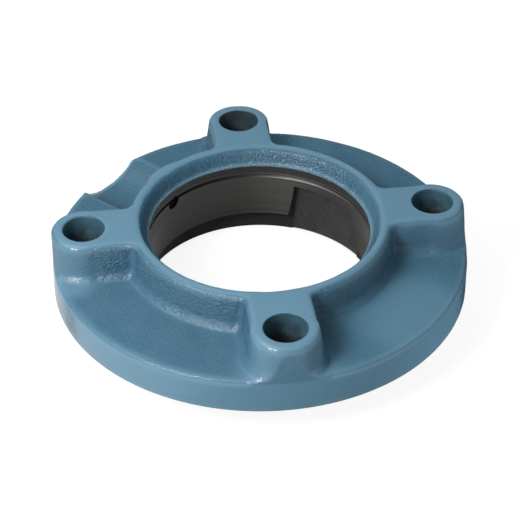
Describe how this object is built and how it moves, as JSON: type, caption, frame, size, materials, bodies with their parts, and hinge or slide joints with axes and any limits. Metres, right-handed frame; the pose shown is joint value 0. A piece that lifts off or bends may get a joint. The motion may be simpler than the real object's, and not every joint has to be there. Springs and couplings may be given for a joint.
{
  "type": "flange cartridge housing",
  "caption": "Round flanged bearing housing cast in iron: machined pilot, hub with a spherical bearing seat, loading slots, grease hole and tall bolt bosses joined to the hub rim.",
  "frame": {"origin": "on the bore axis, in the plane of the mounting face; the pilot reaches below it", "axes": "+Z along the bore axis, out of the front; bolt bosses on +X, +Y, -X and -Y; grease hole and trough between +Y and -X"},
  "size_m": [0.165, 0.165, 0.0404],
  "materials": {
    "housing": "semi-gloss blue enamel over sand-cast iron, with the bearing seat, pilot and mounting face machined bare"
  },
  "bodies": {
    "root": {"housing": "housing"}
  },
  "joints": []
}
